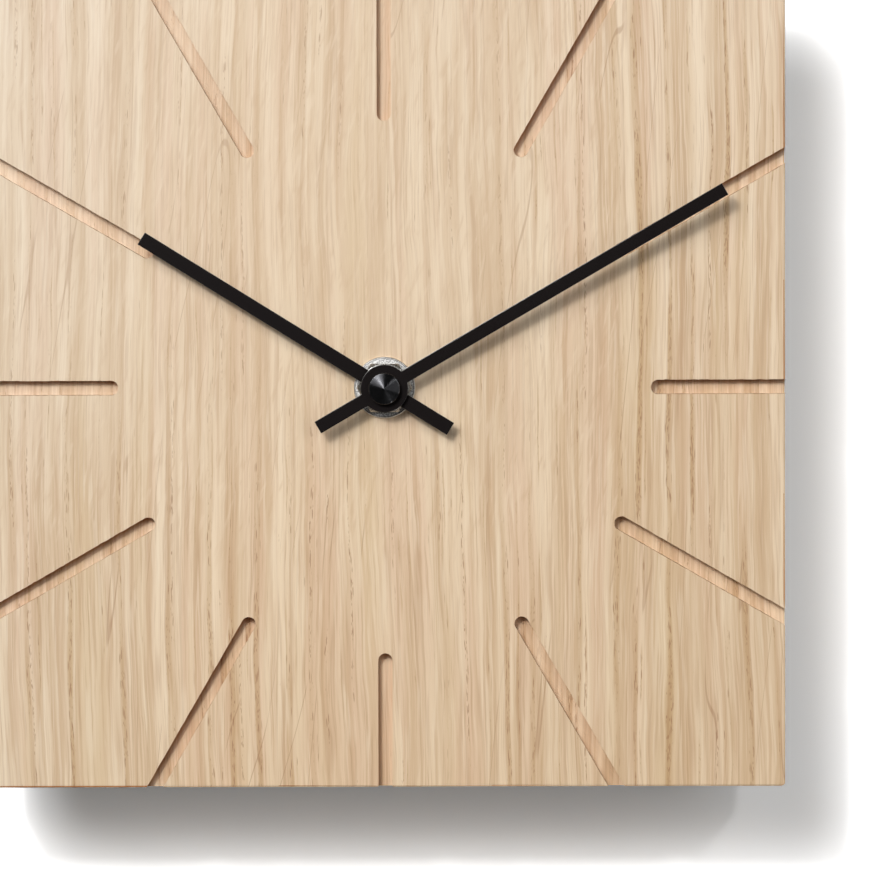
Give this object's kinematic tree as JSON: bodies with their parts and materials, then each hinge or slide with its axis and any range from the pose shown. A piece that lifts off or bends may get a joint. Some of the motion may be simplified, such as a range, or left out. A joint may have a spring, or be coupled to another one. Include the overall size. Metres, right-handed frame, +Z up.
{
  "type": "wall clock",
  "caption": "Square solid-oak wall clock with milled radial hour grooves, two straight black hands and a radio-controlled battery movement in its back.",
  "frame": {"origin": "where the wall hook bears in the hanger's keyhole slot, at x = 0 on the wall plane, which is the back face of the block", "axes": "+X to the right as the dial is read, +Y from the dial into the wall, +Z up; the dial faces -Y and the hands turn about +Y"},
  "size_m": [0.2, 0.0405, 0.2],
  "materials": {
    "oak": "pale oiled solid oak with straight vertical grain, fine dark pores and growth lines",
    "black_metal": "satin black paint on thin sheet metal",
    "cap_black": "turned and black anodised, with fine turning rings",
    "washer_steel": "nickel-plated, brushed and slightly speckled",
    "zinc_steel": "bright zinc plate",
    "brass": "turned brass, slightly dulled",
    "copper_wire": "enamelled copper wire",
    "ferrite": "dark grey sintered ferrite",
    "case_plastic": "moulded black plastic with a fine spark texture",
    "gear_plastic": "natural white acetal",
    "button_plastic": "light grey moulded plastic",
    "board_green": "green solder mask on glass-fibre laminate",
    "chip_black": "black epoxy",
    "rubber": "matte black rubber",
    "contact_steel": "nickel-plated spring steel",
    "cell_sleeve": "printed sleeve in two plain colours, no lettering"
  },
  "bodies": {
    "clock_body": {"oak_body": "oak", "hanger_plate": "zinc_steel", "hanger_screw_left": "zinc_steel", "hanger_screw_right": "zinc_steel", "threaded_bushing": "brass", "rubber_washer": "rubber", "dial_washer": "washer_steel", "centre_nut": "zinc_steel", "front_case": "case_plastic", "rear_cover": "case_plastic", "middle_plate": "gear_plastic", "stator": "zinc_steel", "coil_core": "zinc_steel", "coil_bobbin": "gear_plastic", "motor_coil": "copper_wire", "circuit_board": "board_green", "clock_chip": "chip_black", "receiver_chip": "chip_black", "time_crystal": "zinc_steel", "receiver_crystal": "zinc_steel", "position_led": "chip_black", "position_sensor": "chip_black", "set_switch": "chip_black", "receive_switch": "chip_black", "reset_switch": "chip_black", "ferrite_rod": "ferrite", "antenna_coil": "copper_wire", "battery_cell": "cell_sleeve", "positive_contact": "contact_steel", "negative_contact": "contact_steel", "battery_spring": "contact_steel"},
    "minute_hand_body": {"minute_hand": "black_metal", "cap_nut": "cap_black", "minute_arbor": "zinc_steel", "centre_wheel": "gear_plastic"},
    "hour_hand_body": {"hour_hand": "black_metal", "hour_wheel": "gear_plastic"},
    "motion_wheel_body": {"motion_wheel": "gear_plastic"},
    "second_wheel_body": {"second_wheel": "gear_plastic"},
    "first_wheel_body": {"first_wheel": "gear_plastic"},
    "rotor_body": {"rotor_pinion": "gear_plastic", "rotor_magnet": "ferrite"},
    "set_button_body": {"set_button": "button_plastic"},
    "receive_button_body": {"receive_button": "button_plastic"},
    "reset_button_body": {"reset_button": "button_plastic"}
  },
  "joints": [
    {"name": "minute_turn", "type": "hinge", "parent": "clock_body", "child": "minute_hand_body", "pos_m": [0, -0.012, -0.075], "axis": [0, 1, 0], "continuous": true},
    {"name": "hour_turn", "type": "hinge", "parent": "clock_body", "child": "hour_hand_body", "pos_m": [0, -0.012, -0.075], "axis": [0, 1, 0], "continuous": true},
    {"name": "motion_turn", "type": "hinge", "parent": "clock_body", "child": "motion_wheel_body", "pos_m": [0.006, -0.012, -0.06461], "axis": [0, 1, 0], "continuous": true},
    {"name": "second_turn", "type": "hinge", "parent": "clock_body", "child": "second_wheel_body", "pos_m": [-0.01088, -0.012, -0.08007], "axis": [0, 1, 0], "continuous": true},
    {"name": "first_turn", "type": "hinge", "parent": "clock_body", "child": "first_wheel_body", "pos_m": [-0.01877, -0.012, -0.0772], "axis": [0, 1, 0], "continuous": true},
    {"name": "rotor_turn", "type": "hinge", "parent": "clock_body", "child": "rotor_body", "pos_m": [-0.01659, -0.012, -0.06908], "axis": [0, 1, 0], "continuous": true},
    {"name": "set_press", "type": "slide", "parent": "clock_body", "child": "set_button_body", "axis": [0, -1, 0], "range_m": [0, 0.0005], "stiffness_N_per_m": 300, "springref_m": -0.001},
    {"name": "receive_press", "type": "slide", "parent": "clock_body", "child": "receive_button_body", "axis": [0, -1, 0], "range_m": [0, 0.0005], "stiffness_N_per_m": 300, "springref_m": -0.001},
    {"name": "reset_press", "type": "slide", "parent": "clock_body", "child": "reset_button_body", "axis": [0, -1, 0], "range_m": [0, 0.0005], "stiffness_N_per_m": 300, "springref_m": -0.001}
  ],
  "couplings": [
    {"joint": "hour_turn", "follows": "minute_turn", "ratio": 0.083333},
    {"joint": "motion_turn", "follows": "minute_turn", "ratio": -0.33333},
    {"joint": "second_turn", "follows": "minute_turn", "ratio": -5},
    {"joint": "first_turn", "follows": "minute_turn", "ratio": 30},
    {"joint": "rotor_turn", "follows": "minute_turn", "ratio": -180}
  ]
}
